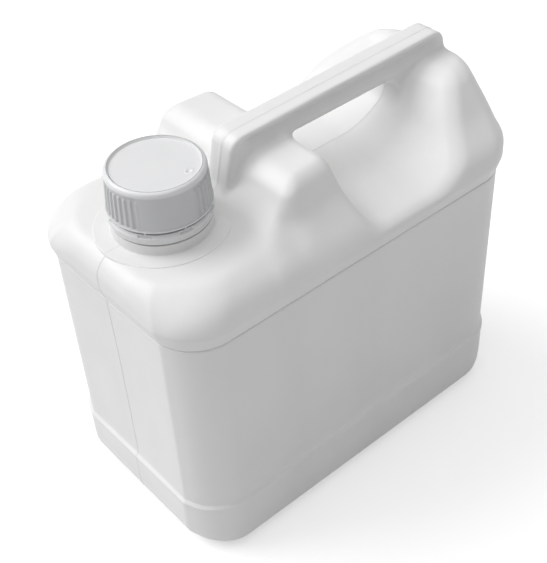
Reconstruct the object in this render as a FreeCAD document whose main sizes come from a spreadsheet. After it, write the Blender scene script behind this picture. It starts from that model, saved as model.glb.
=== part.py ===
import FreeCAD, Part
import Sketcher
import math
import os

# A stackable five litre jerrycan in blow-moulded polyethylene: an oblong tank with a bridge
# handle moulded in one piece with it, a threaded neck, and a tamper-evident screw cap.
# Millimetres. X runs along the tank, front and neck at -X; the mould parts on the plane y = 0;
# z = 0 is the ground.

doc = FreeCAD.newDocument("jerrycan")
sheet = doc.addObject("Spreadsheet::Sheet", "sizes")


class Size:
    """A length or angle that carries its number and the sheet expression that gives it."""

    def __init__(self, value, text):
        self.value = value
        self.text = text

    @staticmethod
    def of(other):
        return other if isinstance(other, Size) else Size(float(other), repr(float(other)))

    def __add__(self, other):
        other = Size.of(other)
        return Size(self.value + other.value, f"({self.text} + {other.text})")

    def __radd__(self, other):
        return Size.of(other) + self

    def __sub__(self, other):
        other = Size.of(other)
        return Size(self.value - other.value, f"({self.text} - {other.text})")

    def __rsub__(self, other):
        return Size.of(other) - self

    def __mul__(self, other):
        other = Size.of(other)
        return Size(self.value * other.value, f"({self.text} * {other.text})")

    def __rmul__(self, other):
        return Size.of(other) * self

    def __truediv__(self, other):
        other = Size.of(other)
        return Size(self.value / other.value, f"({self.text} / {other.text})")

    def __neg__(self):
        return Size.of(0) - self


sheet_row = 0


def size(alias, value, note):
    """Write one driving size into the sheet and return it."""
    global sheet_row
    sheet_row += 1
    sheet.set(f"A{sheet_row}", alias)
    sheet.set(f"B{sheet_row}", str(value))
    sheet.set(f"C{sheet_row}", note)
    sheet.setAlias(f"B{sheet_row}", alias)
    return Size(float(value), f"sizes.{alias}")


# Tank
wall = size("wall", 1.3, "wall of the moulded tank")
panel_length = size("panel_length", 228, "tank, along X, at the label panels")
panel_width = size("panel_width", 128, "tank, along Y, at the label panels")
panel_corner = size("panel_corner", 25.5, "upright corners of the tank, in plan")
band_height = size("band_height", 37, "top of the base band")
band_proud = size("band_proud", 1.6, "base band stands out from the panels")
band_ledge = size("band_ledge", 3.5, "height of the sloping ledge on the base band")
base_radius = size("base_radius", 11, "rounding under the tank")
shoulder_line = size("shoulder_line", 154, "groove between panels and shoulder")
groove_depth = size("groove_depth", 0.8, "groove below the shoulder")
flare_height = size("flare_height", 9.5, "shoulder flares out over this height")
shoulder_proud = size("shoulder_proud", 2.7, "shoulder stands out from the panels")
flank_start = size("flank_start", 174, "rear flanks are upright up to here")
flank_lean = size("flank_lean", 22, "rear of the flanks leans in by this much up to the lugs")
near_lean = size("near_lean", 14, "flank on the -Y side leans in by this much more, front to rear")
flank_corner = size("flank_corner", 31, "rear upright corners at the lugs, in plan")
deck_height = size("deck_height", 181, "flat deck around the neck")
lug_height = size("lug_height", 201, "front lugs beside the grip")
top_rise = size("top_rise", 2.5, "lugs and grip rise by this much towards the rear")
crown_radius = size("crown_radius", 9, "rounding of deck and lug edges")

# Handle
ridge_height = size("ridge_height", 175.3, "saddle below the hand hole")
scoop_fall = size("scoop_fall", 9, "scoops fall away from the saddle, degrees")
slope_run = size("slope_run", 13, "front slope, along X, from the raised disc round the neck")
slope_blend = size("slope_blend", 12, "hollow rounding at the foot of the front slope")
scoop_front = size("scoop_front", 111, "front end of the scoops at lug height, from the front")
scoop_front_foot = size("scoop_front_foot", 125, "front end of the scoops at the saddle, from the front")
scoop_rear_foot = size("scoop_rear_foot", 48, "rear end of the scoops at the saddle, from the rear")
scoop_rear = size("scoop_rear", 22, "rear end of the scoops at lug height, from the rear")
scoop_blend = size("scoop_blend", 15, "hollow rounding in the scoops")
grip_height = size("grip_height", 212.8, "top of the grip")
grip_under = size("grip_under", 199.9, "underside of the grip")
grip_width = size("grip_width", 17, "grip, along Y")
nose_step = size("nose_step", 4, "front end of the grip, behind the foot of the front slope")
grip_tail = size("grip_tail", 3, "rear end of the grip, from the rear")
grip_edge = size("grip_edge", 3.5, "rounding along the grip")
hole_front = size("hole_front", 110, "front end of the hand hole, from the front")
hole_rear = size("hole_rear", 38, "rear end of the hand hole, from the rear")
hole_corner = size("hole_corner", 6, "rounding of the hand hole under the grip")
saddle_blend = size("saddle_blend", 12, "rounding of the hand hole down to the saddle")

# Neck: radii are stepped from the outside of its threaded wall, heights from the deck
neck_radius = size("neck_radius", 21.2, "outside of the neck below its thread")
neck_wall = size("neck_wall", 2.4, "thickness of the neck")
neck_rise = size("neck_rise", 31.6, "sealing lip above the deck")
collar_proud = size("collar_proud", 4.3, "collar at the foot of the neck stands out by this much")
collar_rise = size("collar_rise", 5.9, "top of the collar above the deck")
bead_proud = size("bead_proud", 1.7, "bead that holds the tamper band stands out by this much")
bead_rise = size("bead_rise", 10.2, "underside of that bead above the deck")
boss_proud = size("boss_proud", 12.8, "raised disc round the neck reaches out by this much")
boss_rise = size("boss_rise", 0.6, "height of the raised disc")
boss_margin = size("boss_margin", 4.1, "raised disc stands back from the front")
thread_pitch = size("thread_pitch", 4, "lift of the cap in one turn")
thread_turns = size("thread_turns", 2.25, "turns of thread on the neck")
cap_turns = size("cap_turns", 2, "turns of thread in the cap")
thread_rise = size("thread_rise", 18.5, "middle of the neck thread, where it begins, above the deck")
thread_depth = size("thread_depth", 1.3, "height of both threads")
thread_gap = size("thread_gap", 0.4, "play between crest and root, and between the flanks")

# Closure: radii are stepped from the bore of the cap, heights from the lip and the collar of the neck
liner_thickness = size("liner_thickness", 1.2, "foam disc in the cap")
liner_play = size("liner_play", 1, "foam disc is smaller than the bore by this much")
disc_thickness = size("disc_thickness", 1.7, "top of the cap")
rim_rise = size("rim_rise", 1.1, "rim of the cap above its disc")
rim_width = size("rim_width", 3.1, "rim of the cap, from the disc out to the skirt")
rim_rounding = size("rim_rounding", 2, "rounding from the rim into the skirt")
skirt_wall = size("skirt_wall", 1.8, "skirt of the cap at its upper end")
skirt_draft = size("skirt_draft", 1.1, "skirt gets wider by this much downwards")
skirt_bead = size("skirt_bead", 0.3, "bead round the lower end of the skirt stands out by this much")
rib_depth = size("rib_depth", 0.6, "windows with the ribs are sunk by this much")
rib_spacing = size("rib_spacing", 7.5, "from rib to rib, degrees")
rib_angle = size("rib_angle", 3.6, "width of a rib, degrees")
rib_count = size("rib_count", 8, "ribs in each of the three windows")
cap_angle = size("cap_angle", -80.5, "turn of the cap at rest, about the neck, degrees")
dimple_radius = size("dimple_radius", 1.2, "gate dimple in the disc")
dimple_depth = size("dimple_depth", 0.4, "depth of that dimple")
dimple_place = size("dimple_place", 17.5, "gate dimple, from the axis of the cap")
dimple_angle = size("dimple_angle", 19.5, "gate dimple, about the axis from the first rib, degrees")
band_play = size("band_play", 1.2, "tamper band clears the neck's bead by this much")
band_wall = size("band_wall", 1.4, "tamper band at its lower end")
band_flare = size("band_flare", 0.7, "edge of the tamper band's bevel stands out by this much")
band_lip = size("band_lip", 0.9, "tamper band's inward lip clears the neck by this much")
band_gap = size("band_gap", 0.9, "tamper band above the collar")
bevel_rise = size("bevel_rise", 4, "edge of the bevel above the lower end of the tamper band")
bevel_height = size("bevel_height", 1.6, "height of the bevel")
notch_count = size("notch_count", 8, "notches in the bevel")
notch_angle = size("notch_angle", 15, "width of a notch, degrees")
band_angle = size("band_angle", -7.6, "turn of the band, about the neck, degrees")
bridge_angle = size("bridge_angle", 2, "width of a broken bridge, degrees")
bridge_height = size("bridge_height", 1.2, "height of a broken bridge")
cap_gap = size("cap_gap", 1.6, "skirt above the tamper band")

front_end = -panel_length / 2
rear_end = panel_length / 2
collar_radius = neck_radius + collar_proud
collar_top = deck_height + collar_rise
boss_radius = neck_radius + boss_proud
neck_place = front_end + boss_margin + boss_radius
slope_foot = neck_place + boss_radius
slope_crest = slope_foot + slope_run
neck_lip = deck_height + neck_rise
mouth_radius = neck_radius - neck_wall
bead_radius = neck_radius + bead_proud
bead_height = deck_height + bead_rise
thread_start = deck_height + thread_rise
bore_radius = neck_radius + thread_depth + thread_gap
band_bottom = collar_top + band_gap
band_top = band_bottom + bevel_rise + bevel_height
skirt_bottom = band_top + cap_gap
groove_bottom = shoulder_line - 10


def plane(body, role):
    for feature in body.Origin.OriginFeatures:
        if feature.Role == role:
            return feature


def sketch_on(body, name, role, offset=None):
    """Sketch on an origin plane of the body, raised along the plane's normal by offset."""
    sketch = body.newObject("Sketcher::SketchObject", name)
    sketch.AttachmentSupport = [(plane(body, role), "")]
    sketch.MapMode = "FlatFace"
    if offset is not None:
        sketch.AttachmentOffset.Base.z = offset.value
        sketch.setExpression("AttachmentOffset.Base.z", offset.text)
    return sketch


def pin(sketch, geometry, position, u, v):
    """Fix a sketch point at (u, v) from the sketch origin."""
    for kind, reach in (("DistanceX", u), ("DistanceY", v)):
        if reach.value < 0:
            index = sketch.addConstraint(Sketcher.Constraint(kind, geometry, position, -1, 1, -reach.value))
            sketch.setExpression(f"Constraints[{index}]", (-reach).text)
        else:
            index = sketch.addConstraint(Sketcher.Constraint(kind, -1, 1, geometry, position, reach.value))
            sketch.setExpression(f"Constraints[{index}]", reach.text)


def outline(sketch, corners):
    """Closed outline through corners (u, v, radius): each radius rounds its corner, None leaves it sharp."""
    corners = [(Size.of(u), Size.of(v), None if r is None else Size.of(r)) for u, v, r in corners]
    count = len(corners)
    spots = [FreeCAD.Vector(u.value, v.value, 0) for u, v, r in corners]
    starts = []
    ends = []
    for i in range(count):
        radius = corners[i][2]
        if radius is None:
            starts.append(spots[i])
            ends.append(spots[i])
            continue
        before = (spots[i - 1] - spots[i]).normalize()
        after = (spots[(i + 1) % count] - spots[i]).normalize()
        reach = radius.value / math.tan(before.getAngle(after) / 2)
        starts.append(spots[i] + before * reach)
        ends.append(spots[i] + after * reach)
    lines = []
    for i in range(count):
        j = (i + 1) % count
        lines.append(sketch.addGeometry(Part.LineSegment(ends[i], starts[j]), False))
    for i in range(count):
        into = lines[i - 1]
        out = lines[i]
        u, v, radius = corners[i]
        if radius is None:
            sketch.addConstraint(Sketcher.Constraint("Coincident", into, 2, out, 1))
            pin(sketch, out, 1, u, v)
            continue
        bisector = ((starts[i] + ends[i]) * 0.5 - spots[i]).normalize()
        half = (starts[i] - spots[i]).getAngle(bisector)
        centre = spots[i] + bisector * (radius.value / math.sin(half))
        middle = centre - bisector * radius.value
        arc = sketch.addGeometry(Part.Arc(starts[i], middle, ends[i]), False)
        turn = (spots[i] - spots[i - 1]).cross(spots[(i + 1) % count] - spots[i]).z
        first, last = (1, 2) if turn > 0 else (2, 1)
        sketch.addConstraint(Sketcher.Constraint("Tangent", into, 2, arc, first))
        sketch.addConstraint(Sketcher.Constraint("Tangent", arc, last, out, 1))
        index = sketch.addConstraint(Sketcher.Constraint("Radius", arc, radius.value))
        sketch.setExpression(f"Constraints[{index}]", radius.text)
        corner = sketch.addGeometry(Part.Point(spots[i]), True)
        pin(sketch, corner, 1, u, v)
        sketch.addConstraint(Sketcher.Constraint("PointOnObject", corner, 1, into))
        sketch.addConstraint(Sketcher.Constraint("PointOnObject", corner, 1, out))
    return sketch


def rounded_rectangle(sketch, half_u, half_v, radius):
    return outline(sketch, [(-half_u, -half_v, radius), (half_u, -half_v, radius),
                            (half_u, half_v, radius), (-half_u, half_v, radius)])


def edges_where(feature, test):
    """Names of the feature's edges whose middle point and direction pass the test."""
    names = []
    for number, edge in enumerate(feature.Shape.Edges, 1):
        middle = edge.valueAt((edge.FirstParameter + edge.LastParameter) / 2)
        direction = edge.tangentAt((edge.FirstParameter + edge.LastParameter) / 2)
        if test(middle, direction):
            names.append(f"Edge{number}")
    return names


def sharp_edges(feature, above, angle):
    """Names of the edges over a height, off the parting plane, where two faces meet at more than angle."""
    names = []
    for number, edge in enumerate(feature.Shape.Edges, 1):
        spot = edge.valueAt((edge.FirstParameter + edge.LastParameter) / 2)
        if spot.z < above.value or abs(spot.y) < 0.01 and abs(edge.tangentAt(edge.FirstParameter).y) < 0.5:
            continue
        faces = feature.Shape.ancestorsOfType(edge, Part.Face)
        normals = [face.normalAt(*face.Surface.parameter(spot)) for face in faces]
        if len(normals) == 2 and math.degrees(normals[0].getAngle(normals[1])) > angle:
            names.append(f"Edge{number}")
    return names


def broken(body, name, base, edges, radius, inside):
    """Edges rounded on the outside of the tank, and cut flat on its inside, where they stay thicker."""
    feature = body.newObject("PartDesign::Chamfer" if inside else "PartDesign::Fillet", name)
    feature.Base = (base, edges)
    if inside:
        feature.setExpression("Size", (radius * 0.7).text)
    else:
        feature.setExpression("Radius", radius.text)
    return feature


def tank_form(name, skin):
    """The tank as one solid, drawn in by skin: nothing for the outside, the wall for the inside."""
    inside = skin.value > 0
    body = doc.addObject("PartDesign::Body", name)
    half_length = panel_length / 2 - skin
    half_width = panel_width / 2 - skin

    def footprint(label, height, proud):
        sketch = sketch_on(body, label, "XY_Plane", Size.of(height))
        rounded_rectangle(sketch, half_length + proud, half_width + proud, panel_corner - skin + proud)
        return sketch

    # Base band, rounded below and sloping in above
    band = footprint("band_outline", skin, band_proud)
    band_pad = body.newObject("PartDesign::Pad", "band")
    band_pad.Profile = band
    band_pad.setExpression("Length", (band_height + band_ledge - skin * 2).text)
    doc.recompute()
    underside = edges_where(band_pad, lambda middle, direction: middle.z < skin.value + 0.01)
    foot = broken(body, "foot_rounding", band_pad, underside, base_radius, inside)
    doc.recompute()
    ledge = body.newObject("PartDesign::Chamfer", "band_slope")
    rim = band_height.value + band_ledge.value - skin.value - 0.01
    ledge.Base = (foot, edges_where(foot, lambda middle, direction: middle.z > rim))
    ledge.ChamferType = "Two distances"
    ledge.setExpression("Size", band_ledge.text)
    ledge.setExpression("Size2", band_proud.text)

    # Label panels
    panels = footprint("panel_outline", base_radius + 2, Size.of(0))
    panel_pad = body.newObject("PartDesign::Pad", "panels")
    panel_pad.Profile = panels
    panel_pad.setExpression("Length", (shoulder_line - base_radius - 2).text)
    body.Tip = panel_pad

    # Shoulder: a column standing proud of the panels, whose flanks lean in towards the rear
    end = half_length + shoulder_proud
    front = half_width + shoulder_proud
    corner = panel_corner - skin + shoulder_proud
    levels = ((groove_bottom, 0), (shoulder_line + flare_height, 0), (flank_start, 0.04),
              (lug_height - 11, 0.7), (lug_height + top_rise, 1.25), (grip_height + top_rise + 1, 1.5))
    sections = []
    for number, (height, share) in enumerate(levels):
        section = sketch_on(body, f"shoulder_outline_{number}", "XY_Plane", height)
        rear = front - flank_lean * share
        more = near_lean * share
        rear_corner = corner + (flank_corner - panel_corner - shoulder_proud) * share
        outline(section, [(-end, more - front, corner), (end, more - rear, rear_corner),
                          (end, rear, rear_corner), (-end, front, corner)])
        sections.append(section)
    shoulder = body.newObject("PartDesign::AdditiveLoft", "shoulder")
    shoulder.Profile = sections[0]
    shoulder.Sections = sections[1:]
    doc.recompute()

    # Deck and front slope: everything above them is cut away, side to side
    reach = panel_length / 2 + 20
    above = grip_height + 40
    crest = outline(sketch_on(body, "deck_profile", "XZ_Plane"), [
        (-reach, deck_height - skin, None),
        (slope_foot + skin * 0.6, deck_height - skin, slope_blend + skin),
        (slope_crest + skin * 0.6, lug_height - skin, None),
        (reach, lug_height + top_rise - skin, None),
        (reach, above, None), (-reach, above, None)])
    deck_cut = body.newObject("PartDesign::Pocket", "deck_cut")
    deck_cut.Profile = crest
    deck_cut.SideType = "Symmetric"
    deck_cut.setExpression("Length", (panel_width * 2).text)

    # Finger scoops: one from each side, falling away from the saddle on the parting plane
    scoop_top = lug_height * 2 - ridge_height
    front_foot = front_end + scoop_front_foot - skin * 0.4
    rear_foot = rear_end - scoop_rear_foot + skin * 0.4
    front_top = front_foot - (scoop_front_foot - scoop_front) * 2
    rear_top = rear_foot + (scoop_rear_foot - scoop_rear) * 2
    for side, label in ((-1, "near"), (1, "far")):
        scoop = body.newObject("PartDesign::Pocket", "scoop_" + label)
        scoop.Profile = outline(sketch_on(body, "scoop_profile_" + label, "XZ_Plane"), [
            (front_foot, ridge_height - skin, scoop_blend + skin),
            (rear_foot, ridge_height - skin, scoop_blend + skin),
            (rear_top, scoop_top, None), (front_top, scoop_top, None)])
        scoop.UseCustomVector = True
        scoop.Direction = FreeCAD.Vector(0, side * math.cos(math.radians(scoop_fall.value)),
                                         -math.sin(math.radians(scoop_fall.value)))
        scoop.setExpression("Length", panel_width.text)
    doc.recompute()
    body.Tip = scoop

    # Crown: every upper edge of deck, slope, lugs and scoops is rounded in one go
    crown = broken(body, "crown", scoop, sharp_edges(scoop, shoulder_line + 2, 40), crown_radius, inside)
    doc.recompute()

    # Groove under the shoulder: a blade carried round the panels
    path = footprint("groove_path", shoulder_line, Size.of(0))
    blade = sketch_on(body, "groove_blade", "XZ_Plane")
    side = half_length
    outline(blade, [
        (side, groove_bottom - 2, None), (side, shoulder_line - groove_depth, None),
        (side - groove_depth, shoulder_line, None), (end, shoulder_line + flare_height, None),
        (end + 8, shoulder_line + flare_height, None), (end + 8, groove_bottom - 2, None)])
    groove = body.newObject("PartDesign::SubtractivePipe", "groove")
    groove.Profile = blade
    groove.Spine = (path, [])
    doc.recompute()

    # Grip: a staple on the parting plane, its feet in the lugs and its inside the hand hole
    half_grip = grip_width / 2 - skin
    foot = ridge_height - 6
    saddle = ridge_height - skin - 1.6
    under = grip_under + skin
    nose = slope_foot + nose_step + skin
    hole_near = front_end + hole_front - skin
    hole_far = rear_end - hole_rear + skin
    grip = outline(sketch_on(body, "grip_profile", "XZ_Plane"), [
        (nose - 20 + skin, foot, None), (nose - 2.5, lug_height - 9, 12 + skin),
        (nose + 2, grip_height - skin, 6 - skin),
        (rear_end - grip_tail - skin, grip_height + top_rise - skin, 9 - skin),
        (end - 1, lug_height - 8, None),
        (end - 1, foot, None), (hole_far - saddle_blend - 2, foot, None),
        (hole_far - saddle_blend - 2, saddle, None), (hole_far, saddle, saddle_blend),
        (hole_far, under, hole_corner), (hole_near, under, hole_corner), (hole_near, saddle, saddle_blend),
        (hole_near + saddle_blend + 2, saddle, None), (hole_near + saddle_blend + 2, foot, None)])
    grip_pad = body.newObject("PartDesign::Pad", "grip")
    grip_pad.Profile = grip
    grip_pad.SideType = "Symmetric"
    grip_pad.setExpression("Length", (half_grip * 2).text)
    doc.recompute()

    def along_grip_top(middle, direction):
        on_side = abs(abs(middle.y) - half_grip.value) < 0.01
        lengthwise = abs(direction.x) > 0.1 and middle.z > grip_under.value + 5
        return on_side and (lengthwise or middle.z > lug_height.value + 6)

    grip_edges = body.newObject("PartDesign::Fillet", "grip_edges")
    grip_edges.Base = (grip_pad, edges_where(grip_pad, along_grip_top))
    grip_edges.setExpression("Radius", (grip_edge - skin / 2).text)
    doc.recompute()
    return body


def turned(body, name, profile, kind="PartDesign::Revolution"):
    """Turn a profile drawn on the XZ plane round the vertical axis."""
    feature = body.newObject(kind, name)
    feature.Profile = profile
    feature.ReferenceAxis = (profile, ["V_Axis"])
    return feature


def helical(body, name, root, inward, start, turns):
    """A thread ridge on radius root: one trapezium carried up a helix."""
    side = -1 if inward else 1
    half_root = (thread_pitch / 2 - thread_gap) / 2 + thread_depth * 0.12
    half_crest = half_root - thread_depth * 0.35
    crest = root + side * thread_depth
    buried = root - side * 0.5
    profile = outline(sketch_on(body, name + "_profile", "XZ_Plane"), [
        (buried, start - half_root, None), (root, start - half_root, None), (crest, start - half_crest, None),
        (crest, start + half_crest, None), (root, start + half_root, None),
        (buried, start + half_root, None)][::side])
    ridge = body.newObject("PartDesign::AdditiveHelix", name)
    ridge.Profile = profile
    ridge.ReferenceAxis = (profile, ["V_Axis"])
    ridge.Mode = "pitch-turns-angle"
    ridge.setExpression("Pitch", thread_pitch.text)
    ridge.setExpression("Turns", turns.text)
    return ridge


def round_axis(body, name, features, steps):
    """Repeat features round the vertical axis; each step is an angle to cover and how many to place in it."""
    pattern = body.newObject("PartDesign::MultiTransform", name)
    pattern.Originals = features
    turns = []
    for number, (cover, count) in enumerate(steps):
        turn = body.newObject("PartDesign::PolarPattern", f"{name}_turn_{number}")
        turn.Axis = (features[0].Profile[0], ["V_Axis"])
        turn.Angle = Size.of(cover).value
        turn.setExpression("Angle", Size.of(cover).text)
        turn.Occurrences = int(Size.of(count).value)
        turn.setExpression("Occurrences", Size.of(count).text)
        turns.append(turn)
    pattern.Transformations = turns
    body.Tip = pattern
    return pattern


def disc_at(sketch, place, angle, radius):
    """A circle whose middle lies at a distance and an angle from the sketch origin."""
    u = Size(place.value * math.cos(math.radians(angle.value)), f"({place.text} * cos({angle.text} * 1 deg))")
    v = Size(place.value * math.sin(math.radians(angle.value)), f"({place.text} * sin({angle.text} * 1 deg))")
    middle = FreeCAD.Vector(u.value, v.value, 0)
    circle = sketch.addGeometry(Part.Circle(middle, FreeCAD.Vector(0, 0, 1), radius.value))
    if place.value == 0:
        sketch.addConstraint(Sketcher.Constraint("Coincident", circle, 3, -1, 1))
    else:
        pin(sketch, circle, 3, u, v)
    index = sketch.addConstraint(Sketcher.Constraint("Radius", circle, radius.value))
    sketch.setExpression(f"Constraints[{index}]", radius.text)


def at_neck(body):
    body.Placement.Base.x = neck_place.value
    body.setExpression("Placement.Base.x", neck_place.text)


# Tank: outside less inside
outer = tank_form("outer_form", Size.of(0))
inner = tank_form("inner_form", wall)

# Neck: one turned profile with raised disc, collar and bead, and the thread
neck = doc.addObject("PartDesign::Body", "neck_form")
deck = deck_height + boss_rise
turned(neck, "neck_wall", outline(sketch_on(neck, "neck_profile", "XZ_Plane"), [
    (mouth_radius, deck_height - wall, None), (boss_radius - 2, deck_height - wall, None),
    (boss_radius - 2, deck - 1, None), (boss_radius, deck - 1, None), (boss_radius, deck, None),
    (collar_radius, deck, None), (collar_radius, collar_top - 0.4, None),
    (collar_radius - 0.4, collar_top, None),
    (neck_radius, collar_top, None), (neck_radius, bead_height, None), (bead_radius, bead_height, None),
    (bead_radius, bead_height + 0.8, None), (neck_radius, bead_height + 2.4, None),
    (neck_radius, neck_lip - 0.6, None), (neck_radius - 0.6, neck_lip, None),
    (mouth_radius, neck_lip, None)]))
doc.recompute()
helical(neck, "neck_thread", neck_radius, False, thread_start, thread_turns)
doc.recompute()
mouth = doc.addObject("PartDesign::Body", "mouth_form")
turned(mouth, "mouth", outline(sketch_on(mouth, "mouth_profile", "XZ_Plane"), [
    (0, deck_height - wall - 2, None), (collar_radius - wall, deck_height - wall - 2, None),
    (collar_radius - wall, collar_top - wall - 1, None), (mouth_radius, collar_top - wall, None),
    (mouth_radius, neck_lip + 1, None), (0, neck_lip + 1, None)]))
at_neck(neck)
at_neck(mouth)
doc.recompute()

with_neck = doc.addObject("Part::Fuse", "tank_with_neck")
with_neck.Base = outer
with_neck.Tool = neck
inside = doc.addObject("Part::Fuse", "hollow")
inside.Base = inner
inside.Tool = mouth
jug = doc.addObject("Part::Cut", "jug_body")
jug.Base = with_neck
jug.Tool = inside
doc.recompute()

# Screw cap: a turned skirt, plain fields and ribs round it, the gate dimple and the thread
cap = doc.addObject("PartDesign::Body", "screw_cap")
under_disc = neck_lip + liner_thickness
disc_height = under_disc + disc_thickness
cap_top = disc_height + rim_rise
skirt_upper = bore_radius + skirt_wall
skirt_lower = skirt_upper + skirt_draft
skirt_edge = skirt_lower + skirt_bead
disc_radius = skirt_upper - rim_width
turned(cap, "cap_wall", outline(sketch_on(cap, "cap_profile", "XZ_Plane"), [
    (0, under_disc, None), (bore_radius, under_disc, None), (bore_radius, skirt_bottom, None),
    (skirt_edge - 0.3, skirt_bottom, None), (skirt_edge, skirt_bottom + 0.3, None),
    (skirt_edge, skirt_bottom + 1.4, None), (skirt_lower - rib_depth, skirt_bottom + 1.8, None),
    (skirt_upper - rib_depth, cap_top - 3.2, None), (skirt_upper, cap_top - 2.8, None),
    (skirt_upper, cap_top, rim_rounding), (disc_radius + 0.8, cap_top, None),
    (disc_radius, disc_height, None), (0, disc_height, None)]))
doc.recompute()
cap_start = thread_start + thread_pitch / 2 + thread_pitch * cap_angle / 360
helical(cap, "cap_thread", bore_radius, True, cap_start, cap_turns)
doc.recompute()
field_angle = 120 - rib_spacing * (rib_count - 1)
field = turned(cap, "plain_field", outline(sketch_on(cap, "field_profile", "XZ_Plane"), [
    (skirt_lower - 1, skirt_bottom + 1, None), (skirt_lower, skirt_bottom + 1, None),
    (skirt_upper, cap_top - 2.6, None), (skirt_upper - 1, cap_top - 2.6, None)]))
field.Reversed = True
field.setExpression("Angle", field_angle.text)
doc.recompute()
rib = turned(cap, "rib", outline(sketch_on(cap, "rib_profile", "XZ_Plane"), [
    (skirt_lower - 1, skirt_bottom + 1, None), (skirt_lower + 0.15, skirt_bottom + 1, None),
    (skirt_upper + 0.2, cap_top - 5.2, None), (skirt_upper - 1, cap_top - 4.2, None)]))
rib.Midplane = True
rib.setExpression("Angle", rib_angle.text)
doc.recompute()
round_axis(cap, "plain_fields", [field], ((360, 3),))
round_axis(cap, "ribs", [rib], ((rib_spacing * (rib_count - 1), rib_count), (360, 3)))
doc.recompute()
dimple = cap.newObject("PartDesign::Pocket", "gate_dimple")
dimple_sketch = sketch_on(cap, "dimple_outline", "XY_Plane", disc_height)
disc_at(dimple_sketch, dimple_place, dimple_angle, dimple_radius)
dimple.Profile = dimple_sketch
dimple.setExpression("Length", dimple_depth.text)
dimple.setExpression("TaperAngle", "-30")
doc.recompute()
at_neck(cap)
cap.Placement.Rotation = FreeCAD.Rotation(FreeCAD.Vector(0, 0, 1), cap_angle.value)
cap.setExpression("Placement.Rotation.Angle", cap_angle.text)

# Tamper band, held under the neck's bead: its bevel is notched, with a broken bridge in each notch
band = doc.addObject("PartDesign::Body", "tamper_band")
band_inside = bead_radius + band_play
band_shoulder = band_inside + 0.9
band_outside = band_inside + band_wall
bevel_edge = band_outside + band_flare
lip_radius = neck_radius + band_lip
turned(band, "band_ring", outline(sketch_on(band, "band_profile", "XZ_Plane"), [
    (lip_radius, band_bottom + 0.6, None), (band_inside, band_bottom, None),
    (band_outside, band_bottom, None), (bevel_edge, band_bottom + bevel_rise, None),
    (band_shoulder, band_top, None), (band_inside, band_top, None),
    (band_inside, bead_height - 0.5, None), (lip_radius, bead_height - 0.5, None)]))
doc.recompute()
notch = turned(band, "notch", outline(sketch_on(band, "notch_profile", "XZ_Plane"), [
    (band_shoulder, band_top - bevel_height, None), (bevel_edge + 1, band_top - bevel_height, None),
    (bevel_edge + 1, band_top + 1, None), (band_shoulder, band_top + 1, None)]), "PartDesign::Groove")
notch.Midplane = True
notch.setExpression("Angle", notch_angle.text)
doc.recompute()
bridge = turned(band, "bridge", outline(sketch_on(band, "bridge_profile", "XZ_Plane"), [
    (band_inside, band_top - 0.5, None), (band_shoulder, band_top - 0.5, None),
    (band_shoulder, band_top + bridge_height, None), (band_inside, band_top + bridge_height, None)]))
bridge.Midplane = True
bridge.setExpression("Angle", bridge_angle.text)
doc.recompute()
round_axis(band, "notches", [notch, bridge], ((360, notch_count),))
doc.recompute()
at_neck(band)
band.Placement.Rotation = FreeCAD.Rotation(FreeCAD.Vector(0, 0, 1), band_angle.value)
band.setExpression("Placement.Rotation.Angle", band_angle.text)

# Foam liner
liner = doc.addObject("PartDesign::Body", "sealing_liner")
foam = liner.newObject("PartDesign::Pad", "foam")
foam_outline = sketch_on(liner, "foam_outline", "XY_Plane", neck_lip)
disc_at(foam_outline, Size.of(0), Size.of(0), bore_radius - liner_play)
foam.Profile = foam_outline
foam.setExpression("Length", liner_thickness.text)
at_neck(liner)
doc.recompute()

# Nothing is written unless every object rebuilt and every piece is one sound solid
pieces = (jug, cap, band, liner)
for thing in doc.Objects:
    if "Invalid" in thing.State or "Error" in thing.State:
        raise RuntimeError(f"{thing.Label} did not rebuild: {thing.State}")
for piece in pieces:
    shape = piece.Shape
    if shape.isNull() or not shape.isValid() or len(shape.Solids) != 1:
        raise RuntimeError(f"{piece.Label} is not one sound solid")
    print(piece.Label, "volume", round(shape.Volume / 1000, 2), "cm3")
print("holds", round(inside.Shape.Volume / 1e6, 2), "litres to the brim")

os.makedirs("parts", exist_ok=True)
for piece in pieces:
    piece.Shape.exportStep(f"parts/{piece.Label}.step")
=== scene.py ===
import math
import bpy
import numpy as np
from mathutils import Matrix, Vector


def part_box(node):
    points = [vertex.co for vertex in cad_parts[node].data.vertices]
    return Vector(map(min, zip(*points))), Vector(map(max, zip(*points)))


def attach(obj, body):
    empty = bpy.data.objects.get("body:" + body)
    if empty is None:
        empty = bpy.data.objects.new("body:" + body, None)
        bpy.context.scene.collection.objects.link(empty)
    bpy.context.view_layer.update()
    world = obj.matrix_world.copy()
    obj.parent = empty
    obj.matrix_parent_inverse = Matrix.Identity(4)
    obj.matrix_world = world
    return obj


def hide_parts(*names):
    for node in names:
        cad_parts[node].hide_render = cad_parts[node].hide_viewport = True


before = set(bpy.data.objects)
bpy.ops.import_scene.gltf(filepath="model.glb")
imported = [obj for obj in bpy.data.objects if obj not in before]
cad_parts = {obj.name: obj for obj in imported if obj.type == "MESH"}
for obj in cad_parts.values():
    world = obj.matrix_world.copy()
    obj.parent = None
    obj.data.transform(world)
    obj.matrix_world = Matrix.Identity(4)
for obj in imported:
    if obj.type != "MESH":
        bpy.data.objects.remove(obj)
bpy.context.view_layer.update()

# A five litre jerrycan in white blow-moulded polyethylene, with a screw cap, a tamper band and a foam liner.
# Shapes are worked out in millimetres: x along the tank from the neck end, y across it, z up from the ground.


def cadCorners(node):
    # lowest and highest corner of a CAD node's box, in millimetres to a tenth
    return [[round(value * 1000, 1) for value in corner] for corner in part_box(node)]


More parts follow.
